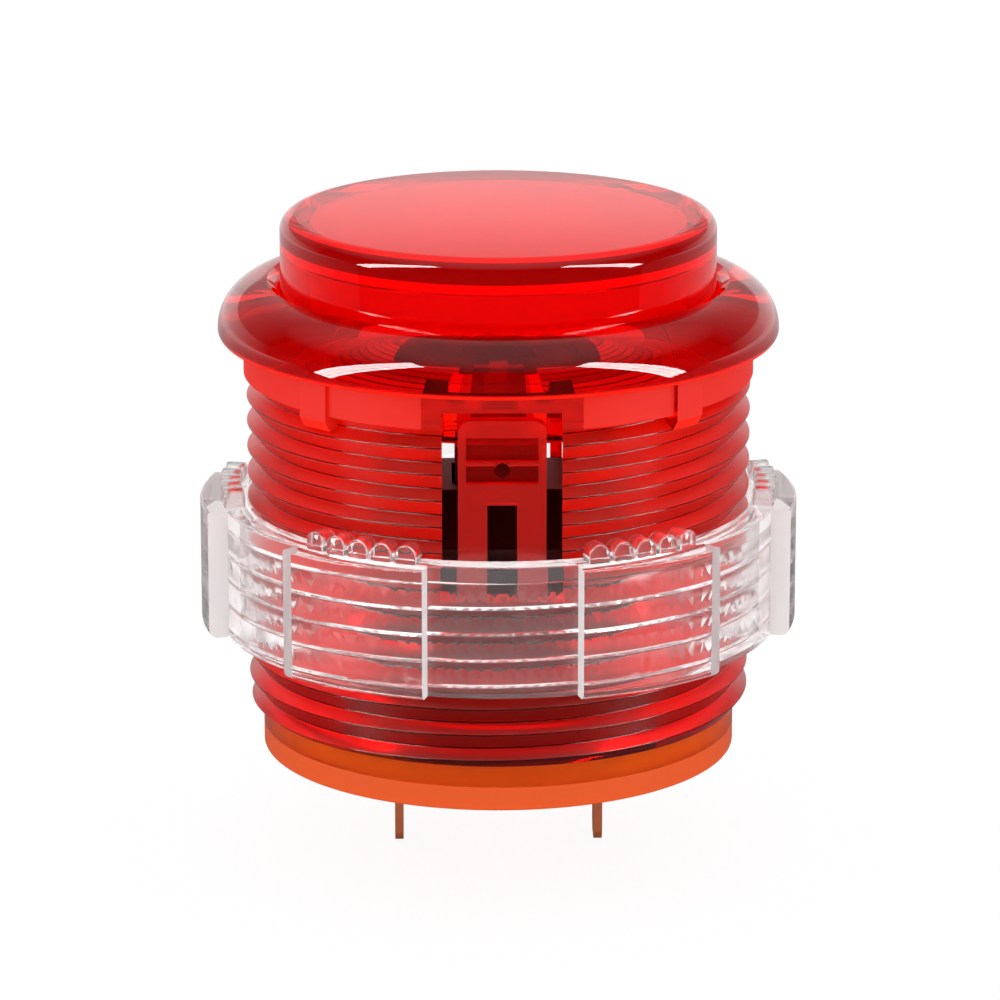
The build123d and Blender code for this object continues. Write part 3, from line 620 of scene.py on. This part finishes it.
class MESH_OT_button_barrel(bpy.types.Operator):
    """Build the red barrel with its rim, thread, ribs, windows and spring tabs"""

    bl_idname = "mesh.button_barrel"
    bl_label = "Barrel"

    def execute(self, context):
        s = context.scene.button_barrel
        rod = threaded_rod(
            s.thread_radius,
            s.thread_radius - s.thread_depth,
            s.thread_pitch,
            s.thread_upper_flank,
            s.thread_round,
            -s.thread_crest,
            -s.barrel_end - s.thread_pitch,
            -s.skirt_height / 2,
        )
        piece = as_object("threaded_barrel", rod)
        radius = s.thread_radius - s.end_chamfer
        end_shape = [(0, -s.barrel_end), (radius, -s.barrel_end), (radius + s.barrel_end, 0), (0, 0)]
        combine(piece, [spun(end_shape)], "INTERSECT")
        combine(piece, [self.rim(s)] + self.ribs(s), "UNION")
        combine(piece, [self.bore(s)] + self.openings(s), "DIFFERENCE")
        for side in (0.0, math.pi):
            self.add_tab(piece, s, Matrix.Rotation(side, 4, "Z"))
        finish_piece(piece, moulded("Red polycarbonate"), "housing", "barrel")
        # The frosted seat under the rim fills it with an even red
        finishes = {
            "Grained red polycarbonate": self.on_skirt,
            "Frosted red polycarbonate": self.on_seat,
            "Thread red polycarbonate": self.on_flank,
            "Clear thread red polycarbonate": self.on_lower_flank,
            # Painted shade: the thread's crests and roots get a dark crimson skin, which draws dark lines
            "Edge red polycarbonate": self.on_painted_crest_line,
            "Satin red polycarbonate": self.on_tab,
        }
        for name, wanted in finishes.items():
            refinish(piece, moulded(name), lambda at, facing: wanted(s, at, facing))
        return {"FINISHED"}

    def rim(self, s):
        """Skirt and rim, whose upper side is a quarter of an ellipse."""
        outline = [(0, -s.skirt_height), (s.skirt_radius, -s.skirt_height), (s.skirt_radius, 0)]
        outline += corner(s.rim_radius - s.rim_edge, s.rim_edge, s.rim_edge, 270, 360, 12)
        size = (s.rim_radius - s.mouth_radius, s.rim_height - s.rim_edge)
        outline += profile_arc((s.mouth_radius, s.rim_edge), size, 0, 90, 40)[1:]
        outline += [(0, s.rim_height)]
        return spun(outline)

    def ribs(self, s):
        """Ribs that centre the barrel in its hole."""
        root = s.thread_radius - s.rib_root
        side = [
            (root, LAP),
            (s.rib_radius, LAP),
            (s.rib_radius, s.rib_taper - s.rib_height),
            (s.thread_radius, -s.rib_height),
            (root, -s.rib_height),
        ]
        centred = Matrix.Translation((0, -s.rib_width / 2, 0))
        turns = [Matrix.Rotation(TURN * (i + 0.5) / s.rib_count, 4, "Z") for i in range(s.rib_count)]
        return [prism(side, s.rib_width, turn @ centred) for turn in turns]

    def bore(self, s):
        """Hollow of the barrel, with the groove for the base and the collar for the plunger."""
        outline = [
            (0, -s.barrel_end - CLEAR),
            (s.bore_radius, -s.barrel_end - CLEAR),
            (s.bore_radius, -s.groove_bottom),
            (s.groove_radius, -s.groove_bottom),
            (s.groove_radius, -s.groove_top),
            (s.bore_radius, -s.groove_top),
            (s.bore_radius, -s.collar_end),
            (s.collar_radius, -s.collar_end),
            (s.collar_radius, s.rim_height - s.mouth_depth),
            (s.mouth_radius, s.rim_height),
            (s.mouth_radius, s.rim_height + CLEAR),
            (0, s.rim_height + CLEAR),
        ]
        return spun(outline)

    def openings(self, s):
        """Window through front and back, and the flats on the skirt over it."""
        reach = s.rim_radius
        half = s.window_width / 2
        wide = s.skirt_radius / 2
        return [
            block((-half, -reach, -s.window_bottom), (half, reach, -s.window_top)),
            block((-wide, -reach, -s.skirt_height), (wide, -s.flat_distance, 0)),
            block((-wide, s.flat_distance, -s.skirt_height), (wide, reach, 0)),
        ]

    def add_tab(self, piece, s, turn):
        """Add one spring tab, rooted in its window's lower edge."""
        half = s.tab_width / 2
        foot = -s.window_bottom - DEEP_LAP
        shoulder = -s.tab_top - s.tab_corner
        outline = [(-half, foot), (half, foot)]
        outline += corner(half - s.tab_corner, shoulder, s.tab_corner, 0, 90, 8)
        outline += corner(s.tab_corner - half, shoulder, s.tab_corner, 90, 180, 8)
        thickness = s.flat_distance - s.bore_radius
        tab = as_object("tab", prism(outline, thickness, Matrix.Translation((0, -s.flat_distance, 0))))
        inside = half - s.tab_rail
        front, back = -s.flat_distance - CLEAR, s.pocket_depth - s.flat_distance
        slot = s.slot_width / 2
        cuts = [
            block((-inside, front, -s.pocket_bottom), (inside, back, -s.pocket_top)),
            block((-slot, front, -s.window_bottom), (slot, -s.bore_radius + CLEAR, -s.slot_top)),
        ]
        combine(tab, cuts, "DIFFERENCE")
        bar = block(
            (-inside - LAP, -s.flat_distance, -s.bar_level - s.bar_height / 2),
            (inside + LAP, back + LAP, -s.bar_level + s.bar_height / 2),
        )
        pip = bmesh.new()
        middle = Matrix.Translation((0, back - s.pocket_depth / 2, -s.pip_level))
        bmesh.ops.create_cone(
            pip,
            cap_ends=True,
            segments=32,
            radius1=s.pip_radius,
            radius2=s.pip_radius,
            depth=s.pocket_depth + LAP,
            matrix=middle @ Matrix.Rotation(TURN / 4, 4, "X"),
        )
        combine(tab, [bar, pip], "UNION")
        bm = bmesh.new()
        bm.from_mesh(tab.data)
        bmesh.ops.transform(bm, verts=bm.verts, matrix=turn)
        discard(tab)
        combine(piece, [bm], "UNION")

    def on_skirt(self, s, at, facing):
        """Tell whether a face lies on the plain skirt or on a rib beside it."""
        on_rib = off_axis(at) > s.thread_radius and -s.rib_height < at.z < 0
        return on_rib or off_axis(at) > s.flat_distance and -s.skirt_height < at.z < 0

    def on_seat(self, s, at, facing):
        """Tell whether a face is the seat under the rim."""
        return facing.z < -LEANING and off_axis(at) > s.skirt_radius and at.z < s.rim_edge / 2

    def on_thread(self, s, at):
        """Tell whether a point lies on the thread."""
        between = s.thread_radius - s.thread_depth - HAIR < off_axis(at) < s.thread_radius
        return between and s.end_chamfer - s.barrel_end < at.z < -s.skirt_height

    def on_flank(self, s, at, facing):
        """Tell whether a face is a flank of the thread."""
        return self.on_thread(s, at) and abs(facing.z) > LEANING

    def on_lower_flank(self, s, at, facing):
        """Tell whether a face is a flank of the thread below the windows."""
        return self.on_flank(s, at, facing) and at.z < -s.window_bottom

    def on_painted_crest_line(self, s, at, facing):
        """Tell whether a face is a rounded crest or root of the thread, which gets a painted dark line."""
        return self.on_thread(s, at) and abs(facing.z) <= LEANING and outward(at, facing) > LEANING

    def on_tab(self, s, at, facing):
        """Tell whether a face lies on one of the spring tabs, but not on its pocket's floor."""
        outwards = abs(at.y)
        if abs(facing.y) > FACING and abs(outwards - s.flat_distance + s.pocket_depth) < HAIR:
            return False
        across = abs(at.x) < s.tab_width / 2 + HAIR
        through = s.bore_radius - HAIR < outwards < s.flat_distance + HAIR
        return across and through and -s.window_bottom < at.z < HAIR - s.tab_top


class MESH_OT_button_plunger(bpy.types.Operator):
    """Build the red plunger with its rounded edge, flange and push cross"""

    bl_idname = "mesh.button_plunger"
    bl_label = "Plunger"

    # The roof's underside reaches round its corner to this slope
    roof_slope = 0.3
    # The painted dark shade on the edge reaches up over the rounding to this slope
    painted_shade_slope = 0.75

    def execute(self, context):
        s = context.scene.button_plunger
        inner = s.radius - s.wall
        under = s.top - s.roof
        shoulder = s.flange_height - s.bottom
        outline = [(0, under), (0, s.top)]
        outline += corner(s.radius - s.edge, s.top - s.edge, s.edge, 90, 0, 20)
        outline += [
            (s.radius, s.top - s.edge - s.painted_shade_band),
            (s.radius, shoulder),
            (s.flange_radius, shoulder),
            (s.flange_radius, -s.bottom),
            (inner, -s.bottom),
            (inner, s.grain_end),
        ]
        outline += corner(inner - s.inner_edge, under - s.inner_edge, s.inner_edge, 0, 90, 10)
        piece = as_object("push_cap", spun(outline))
        cross = self.cross(s.push_rib, s.push_length, s.push_depth, -s.push_end, under - s.push_gap)
        foot = self.cross(s.push_rib, s.pusher_width, s.pusher_width, -s.pusher_end, LAP - s.push_end)
        combine(piece, cross + foot, "UNION")
        finish_piece(piece, moulded("Red polycarbonate"), "plunger", "plunger")
        # The frosted underside lets the face shine an even salmon, and the grained wall gives the side
        # an even red over the rim
        finishes = {
            "Frosted red polycarbonate": self.under_roof,
            "Grained red polycarbonate": self.inside_wall,
            # Painted shade: the rounded edge, the wall under it and the pusher get a dark crimson skin
            "Edge red polycarbonate": self.on_painted_shade,
        }
        for name, wanted in finishes.items():
            refinish(piece, moulded(name), lambda at, facing: wanted(s, at, facing))
        return {"FINISHED"}

    def cross(self, rib, width, depth, low, high):
        """Two upright plates that cross on the axis."""
        return [
            block((-width / 2, -rib / 2, low), (width / 2, rib / 2, high)),
            block((-rib / 2, -depth / 2, low), (rib / 2, depth / 2, high)),
        ]

    def under_roof(self, s, at, facing):
        """Tell whether a face is the underside of the roof."""
        return facing.z < -self.roof_slope and at.z > s.top - s.roof - s.inner_edge

    def inside_wall(self, s, at, facing):
        """Tell whether a face is the side wall's inner side above the rim."""
        within = s.push_length < off_axis(at) < s.radius - s.wall + HAIR
        inwards = outward(at, facing) < 0 and abs(facing.z) < UPRIGHT
        return within and inwards and at.z > s.grain_end

    def on_painted_shade(self, s, at, facing):
        """Tell whether a face gets painted shade: it is on the rounded edge, on the wall just under it or on
        the pusher.
        """
        on_pusher = off_axis(at) < s.pusher_width and at.z < -s.push_end
        outside = off_axis(at) > s.radius - s.edge and at.z > s.top - s.edge - s.painted_shade_band
        return on_pusher or outside and -UPRIGHT < facing.z < self.painted_shade_slope


class MESH_OT_button_nut(bpy.types.Operator):
    """Build the clear ring nut with its grip pads, arched teeth and inner thread"""

    bl_idname = "mesh.button_nut"
    bl_label = "Ring nut"

    def execute(self, context):
        s = context.scene.button_nut
        thread = context.scene.button_barrel
        low = -s.top - s.height
        inside = s.bore_radius - s.thread_depth
        ring = [(inside, low), (s.ring_radius, low)]
        ring += corner(s.ring_radius - s.edge, -s.top - s.edge, s.edge, 0, 90, 5)
        ring += [(inside, -s.top)]
        piece = as_object("ring_nut", spun(ring))
        combine(piece, self.grips(s, low), "UNION")
        above, below = CLEAR - s.top, low - CLEAR
        bore = [(0, below), (s.bore_radius, below), (s.bore_radius, above), (0, above)]
        groove = threaded_rod(
            s.bore_radius + s.thread_depth,
            s.bore_radius - LAP,
            thread.thread_pitch,
            s.groove_flank,
            thread.thread_round,
            -thread.thread_crest,
            low - thread.thread_pitch,
            -s.top - s.thread_relief,
        )
        combine(piece, [spun(bore), groove], "DIFFERENCE")
        finish_piece(piece, moulded("Clear polycarbonate"), "nut", "mounting_nut")
        # The pads' ends stand out as white uprights
        frosted = moulded("Frosted clear polycarbonate")
        refinish(piece, frosted, lambda at, facing: self.on_pad_end(s, at, facing))
        return {"FINISHED"}

    def grips(self, s, low):
        """Grip pads round the ring, each with its row of teeth."""
        pad = [(s.tooth_start, low)]
        pad += corner(s.pad_radius - s.pad_foot, low + s.pad_foot, s.pad_foot, 270, 360, 8)
        pad += corner(s.pad_radius - s.edge, -s.top - s.edge, s.edge, 0, 90, 5)
        pad += [(s.tooth_start, -s.top)]
        arch = [(-s.tooth_radius, -DEEP_LAP), (s.tooth_radius, -DEEP_LAP)]
        arch += corner(0, s.tooth_height - s.tooth_radius, s.tooth_radius, 0, 180, 16)
        outside = Matrix.Translation((0, -s.ring_radius, -s.top))
        grips = []
        for i in range(s.pad_count):
            middle = TURN * i / s.pad_count
            grips.append(spun(pad, 24, s.pad_angle, middle - s.pad_angle / 2))
            for tooth in range(s.tooth_count):
                at = middle + (tooth - (s.tooth_count - 1) / 2) * s.tooth_pitch + TURN / 4
                place = Matrix.Rotation(at, 4, "Z") @ outside
                grips.append(self.rounded(prism(arch, s.ring_radius - s.tooth_start, place), s.edge))
        return grips

    def rounded(self, bm, radius):
        """Round the edges of a small mesh."""
        bmesh.ops.bevel(
            bm,
            geom=list(bm.edges),
            offset=radius,
            segments=3,
            profile=0.5,
            affect="EDGES",
            material=-1,
        )
        bmesh.ops.recalc_face_normals(bm, faces=bm.faces)
        return bm

    def on_pad_end(self, s, at, facing):
        """Tell whether a face is the upright end of a grip pad."""
        upright = abs(facing.z) < LEANING and abs(outward(at, facing)) < LEANING
        return upright and off_axis(at) > s.ring_radius


class MESH_OT_button_base(bpy.types.Operator):
    """Build the orange base cap with its spigot, snap ridges, clips and blade slots"""

    bl_idname = "mesh.button_base"
    bl_label = "Base cap"

    def execute(self, context):
        s = context.scene.button_base
        inner = s.spigot_radius - s.spigot_wall
        floor = s.floor - s.bottom
        outline = [(0, floor), (0, -s.bottom)]
        outline += corner(s.radius - s.edge, s.edge - s.bottom, s.edge, 270, 360, 6)
        outline += [
            (s.radius, s.grain_top - s.bottom),
            (s.radius, -s.top),
            (s.spigot_radius, -s.top),
            (s.spigot_radius, -s.spigot_top),
            (inner, -s.spigot_top),
            (inner, -s.frost_top),
            (inner, floor),
        ]
        piece = as_object("base_cup", spun(outline))
        combine(piece, self.ridges(s) + self.clips(s, floor), "UNION")
        slots = []
        for place in (-s.slot_place, s.slot_place):
            low = (place - s.slot_thickness / 2, -s.slot_width / 2, -s.bottom - CLEAR)
            high = (place + s.slot_thickness / 2, s.slot_width / 2, floor + LAP)
            slots.append(block(low, high))
        combine(piece, slots, "DIFFERENCE")
        finish_piece(piece, moulded("Orange polycarbonate"), "housing", "base_cap")
        # Frosted inside, the base glows over its whole height, and its lower edge is a deeper orange
        frosted = moulded("Frosted orange polycarbonate")
        refinish(piece, frosted, lambda at, facing: self.on_frost(s, at, facing))
        grained = moulded("Grained orange polycarbonate")
        refinish(piece, grained, lambda at, facing: self.on_lower_edge(s, at, facing))
        return {"FINISHED"}

    def ridges(self, s):
        """Ridges round the spigot that snap into the barrel's groove."""
        root = s.spigot_radius - DEEP_LAP
        ridge = [
            (root, -s.ridge_bottom),
            (s.ridge_radius, -s.ridge_bottom),
            (s.ridge_radius, -s.ridge_top),
            (root, -s.ridge_top),
        ]
        middles = [TURN * (i + 0.5) / s.ridge_count for i in range(s.ridge_count)]
        return [spun(ridge, 16, s.ridge_angle, middle - s.ridge_angle / 2) for middle in middles]

    def clips(self, s, floor):
        """Two hooked clips that hold the switch."""
        place = s.clip_place
        clip = [
            (place, floor - DEEP_LAP),
            (place + s.clip_thickness, floor - DEEP_LAP),
            (place + s.clip_thickness, -s.clip_top),
            (place, -s.clip_top),
            (place - s.hook, s.hook_nose - s.hook_bottom),
            (place - s.hook, -s.hook_bottom),
            (place, -s.hook_bottom),
        ]
        centred = Matrix.Translation((0, -s.clip_width / 2, 0))
        turns = [Matrix.Rotation(side, 4, "Z") for side in (0.0, math.pi)]
        return [prism(clip, s.clip_width, turn @ centred) for turn in turns]

    def on_lower_edge(self, s, at, facing):
        """Tell whether a face lies outside on the base's lower edge, beside its floor."""
        outside = off_axis(at) > s.spigot_radius
        return outside and at.z < s.grain_top - s.bottom and facing.z > -FACING

    def on_frost(self, s, at, facing):
        """Tell whether a face is frosted: the cup's lower inner wall, its floor and its underside."""
        flat = abs(facing.z) > FACING and at.z < s.floor - s.bottom + LAP
        inside = s.clip_place + s.clip_thickness + LAP < off_axis(at) < s.spigot_radius
        return flat or inside and at.z < -s.frost_top


class MESH_OT_button_switch(bpy.types.Operator):
    """Give the switch inside the button its black plastic and its metals"""

    bl_idname = "mesh.button_switch"
    bl_label = "Switch"

    wearing = {
        "Black polyamide": ("switch_case", "switch_cover", "push_bridge", "switch_slider"),
        "Copper alloy": ("bridge_contact", "left_terminal", "right_terminal"),
        "Silver contact": (
            "left_bridge_point",
            "right_bridge_point",
            "left_fixed_contact",
            "right_fixed_contact",
        ),
        "Spring steel": ("contact_spring",),
    }

    def execute(self, context):
        for material, nodes in self.wearing.items():
            for node in nodes:
                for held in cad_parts[node].material_slots:
                    held.material = opaque(material)
        return {"FINISHED"}


class MESH_OT_button_spring(bpy.types.Operator):
    """Build the return spring at rest, which in the button the plunger squeezes when it goes in"""

    bl_idname = "mesh.button_spring"
    bl_label = "Return spring"

    def execute(self, context):
        s = context.scene.button_spring
        piece = as_object("return_coil", coil(s.radius, s.wire, s.turns, -s.bottom, -s.top))
        finish_piece(piece, opaque("Spring steel"), "housing", "return_spring")
        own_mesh(piece)
        return {"FINISHED"}


class SCENE_OT_button_stage(bpy.types.Operator):
    """Set up the white floor, the soft light and the camera"""

    bl_idname = "scene.button_stage"
    bl_label = "Studio"

    def execute(self, context):
        s = context.scene.button_stage
        self.add_floor(context, s)
        self.add_world(context, s)
        self.add_lights(context, s)
        self.add_camera(context, s)
        context.scene.view_settings.view_transform = "Standard"
        context.scene.cycles.max_bounces = 16
        context.scene.cycles.transmission_bounces = 16
        context.scene.cycles.glossy_bounces = 10
        context.scene.cycles.diffuse_bounces = 4
        return {"FINISHED"}

    def seen(self, tree):
        """Factor that is 1 for what the eye, a reflection or a clear wall sees directly."""
        rays = add_node(tree, "ShaderNodeLightPath").outputs
        pair = {0: rays["Is Camera Ray"], 1: rays["Is Glossy Ray"]}
        either = add_node(tree, "ShaderNodeMath", pair, operation="MAXIMUM")
        pair = {0: either.outputs["Value"], 1: rays["Is Transmission Ray"]}
        return add_node(tree, "ShaderNodeMath", pair, operation="MAXIMUM").outputs["Value"]

    def mirrored(self, tree):
        """Factor that is 1 for what a reflection sees. A ray through a clear wall counts as glossy too."""
        rays = add_node(tree, "ShaderNodeLightPath").outputs
        pair = {0: rays["Is Glossy Ray"], 1: rays["Is Transmission Ray"]}
        only = add_node(tree, "ShaderNodeMath", pair, operation="SUBTRACT", use_clamp=True)
        return only.outputs["Value"]

    def ramp(self, tree, value, start, end, low, high):
        """Change evenly from one number to another while a value goes from its start to its end."""
        inputs = {"Value": value, "From Min": start, "From Max": end, "To Min": low, "To Max": high}
        return add_node(tree, "ShaderNodeMapRange", inputs).outputs["Result"]

    def add_floor(self, context, s):
        """White floor that still takes the object's shadow."""
        bm = bmesh.new()
        place = Matrix.Translation((0, s.floor_half - s.floor_front, -s.floor_level))
        bmesh.ops.create_grid(bm, x_segments=1, y_segments=1, size=s.floor_half, matrix=place)
        floor = as_object("studio_floor", bm)
        # White paper: bright all over, a little greyer where the object stands in the light
        material, tree = new_material("White paper")
        white = (*context.scene.button_finishes.floor, 1.0)
        where = add_node(tree, "ShaderNodeTexCoord").outputs["Object"]
        axes = add_node(tree, "ShaderNodeSeparateXYZ", {"Vector": where}).outputs
        room = self.ramp(tree, axes["Y"], 0.0, s.floor_white, s.room, 1.0)
        shown = add_node(tree, "ShaderNodeMix", {"Factor": self.mirrored(tree), "A": 1.0, "B": room})
        glow = add_node(tree, "ShaderNodeEmission", {"Color": white, "Strength": shown.outputs["Result"]})
        paper = add_node(tree, "ShaderNodeBsdfDiffuse", {"Color": white})
        pair = {0: self.seen(tree), 1: s.floor_glow}
        share = add_node(tree, "ShaderNodeMath", pair, operation="MULTIPLY")
        layers = {"Fac": share.outputs["Value"], 1: paper.outputs["BSDF"], 2: glow.outputs["Emission"]}
        mix = add_node(tree, "ShaderNodeMixShader", layers)
        add_node(tree, "ShaderNodeOutputMaterial", {"Surface": mix.outputs["Shader"]})
        floor.data.materials.append(material)

    def add_world(self, context, s):
        """White surroundings. Reflections see a white back and a dimmer room towards the camera."""
        world = bpy.data.worlds.new("White studio")
        context.scene.world = world
        world.use_nodes = True
        tree = world.node_tree
        tree.nodes.clear()
        where = add_node(tree, "ShaderNodeTexCoord").outputs["Generated"]
        axes = add_node(tree, "ShaderNodeSeparateXYZ", {"Vector": where}).outputs
        room = self.ramp(tree, axes["Y"], s.back_start, s.back_full, s.room, 1.0)
        sky = self.ramp(tree, axes["Z"], math.sin(s.backdrop_fade), math.sin(s.backdrop_end), 1.0, s.sky)
        overhead = self.ramp(tree, axes["Z"], s.overhead_start, s.overhead_full, 0.0, s.overhead)
        behind = add_node(tree, "ShaderNodeMath", {0: room, 1: sky}, operation="MULTIPLY")
        pair = {0: behind.outputs["Value"], 1: overhead}
        reflected = add_node(tree, "ShaderNodeMath", pair, operation="MAXIMUM")
        rays = add_node(tree, "ShaderNodeLightPath").outputs
        plain = self.ramp(tree, rays["Is Camera Ray"], 0.0, 1.0, s.fill, 1.0)
        either = {"Factor": self.mirrored(tree), "A": plain, "B": reflected.outputs["Value"]}
        shown = add_node(tree, "ShaderNodeMix", either)
        light = {"Color": (1.0, 1.0, 1.0, 1.0), "Strength": shown.outputs["Result"]}
        white = add_node(tree, "ShaderNodeBackground", light)
        add_node(tree, "ShaderNodeOutputWorld", {"Surface": white.outputs["Background"]})

    def add_lights(self, context, s):
        """Two tall lamps in front, left and right, of some tubes each, which lean in over the object."""
        for side in (-1, 1):
            low = self.towards(side * s.lamp_low_azimuth, s.lamp_low_elevation) * s.lamp_distance
            high = self.towards(side * s.lamp_high_azimuth, s.lamp_high_elevation) * s.lamp_distance
            middle = (low + high) / 2
            along = (high - low).normalized()
            away = (middle - along * middle.dot(along)).normalized()
            across = along.cross(away)
            for i in range(s.lamp_tubes):
                light = bpy.data.lights.new("lamp_tube", "AREA")
                light.shape = "RECTANGLE"
                light.size = s.lamp_tube_width
                light.size_y = (high - low).length
                light.energy = s.lamp_power
                lamp = bpy.data.objects.new("lamp_tube", light)
                lamp.visible_diffuse = False
                lamp.location = middle + across * (i - (s.lamp_tubes - 1) / 2) * s.lamp_tube_pitch
                lamp.rotation_euler = Matrix((across, along, away)).transposed().to_euler()
                context.scene.collection.objects.link(lamp)

    def towards(self, azimuth, elevation):
        """Direction at an azimuth to the right of the front, and at an elevation."""
        flat = math.cos(elevation)
        return Vector((flat * math.sin(azimuth), -flat * math.cos(azimuth), math.sin(elevation)))

    def add_camera(self, context, s):
        """Long lens a little above the rim, as in a catalogue picture."""
        data = bpy.data.cameras.new("camera")
        data.lens = s.focal
        data.shift_x = s.shift
        data.clip_start = s.clip_start
        camera = bpy.data.objects.new("camera", data)
        camera.location = self.towards(-s.yaw, s.elevation) * s.distance - Vector((0, 0, s.target))
        camera.rotation_euler = (TURN / 4 - s.elevation, 0.0, -s.yaw)
        context.scene.collection.objects.link(camera)
        context.scene.camera = camera


class VIEW3D_PT_push_button(bpy.types.Panel):
    """Sidebar panel that builds the button piece by piece."""

    bl_idname = "VIEW3D_PT_push_button"
    bl_label = "Push Button"
    bl_space_type = "VIEW_3D"
    bl_region_type = "UI"
    bl_category = "Push Button"

    def draw(self, context):
        for kind in OPERATORS:
            self.layout.operator(kind.bl_idname)
        for name in GROUPS:
            box = self.layout.box()
            settings = getattr(context.scene, name)
            for key in settings.__annotations__:
                box.prop(settings, key)


GROUPS = {
    "button_barrel": BarrelSizes,
    "button_plunger": PlungerSizes,
    "button_nut": NutSizes,
    "button_base": BaseSizes,
    "button_spring": SpringSizes,
    "button_finishes": Finishes,
    "button_stage": StageSettings,
}
OPERATORS = (
    MESH_OT_button_barrel,
    MESH_OT_button_plunger,
    MESH_OT_button_nut,
    MESH_OT_button_base,
    MESH_OT_button_switch,
    MESH_OT_button_spring,
    SCENE_OT_button_stage,
)
CLASSES = (*GROUPS.values(), *OPERATORS, VIEW3D_PT_push_button)


def register():
    """Register the classes and hang their settings on the scene."""
    for kind in CLASSES:
        bpy.utils.register_class(kind)
    for name, kind in GROUPS.items():
        setattr(bpy.types.Scene, name, PointerProperty(type=kind))


def unregister():
    """Take everything out again."""
    for name in GROUPS:
        delattr(bpy.types.Scene, name)
    for kind in reversed(CLASSES):
        bpy.utils.unregister_class(kind)


def main():
    """Build the button and the studio."""
    register()
    bpy.ops.mesh.button_barrel()
    bpy.ops.mesh.button_plunger()
    bpy.ops.mesh.button_nut()
    bpy.ops.mesh.button_base()
    bpy.ops.mesh.button_switch()
    bpy.ops.mesh.button_spring()
    bpy.ops.scene.button_stage()


if __name__ == "__main__":
    main()
